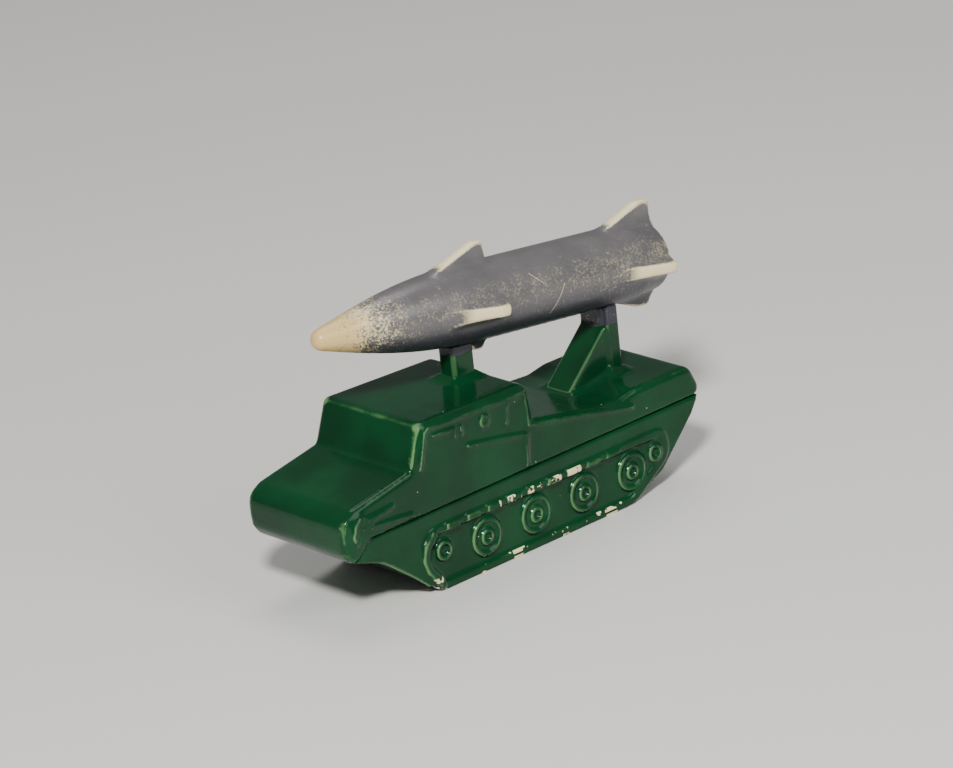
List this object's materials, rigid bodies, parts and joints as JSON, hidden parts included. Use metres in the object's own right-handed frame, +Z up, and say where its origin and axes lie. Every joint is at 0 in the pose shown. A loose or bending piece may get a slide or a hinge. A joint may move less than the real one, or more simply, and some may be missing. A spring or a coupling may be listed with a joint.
{
  "type": "toy rocket launcher vehicle",
  "caption": "Toy tracked vehicle with cabin, open rear deck and two fixed posts that carry a finned rocket, moulded in painted shells and made to stand on a flat surface.",
  "frame": {"origin": "on the ground under the middle of the toy's overall length and width", "axes": "+X towards the bow and the rocket's nose, +Y towards the vehicle's left side, +Z up"},
  "size_m": [0.1025, 0.0306, 0.0628],
  "materials": {
    "green_enamel": "dark green gloss enamel over cream plastic, worn through on the track edges",
    "silver_enamel": "thin silver-grey paint over cream plastic, rubbed through on the nose and fin edges"
  },
  "bodies": {
    "root": {"hull_left_half": "green_enamel", "hull_right_half": "green_enamel", "base_tub": "green_enamel", "track_unit_left": "green_enamel", "track_unit_right": "green_enamel", "post_front": "green_enamel", "post_rear": "green_enamel", "missile_left_half": "silver_enamel", "missile_right_half": "silver_enamel"}
  },
  "joints": []
}
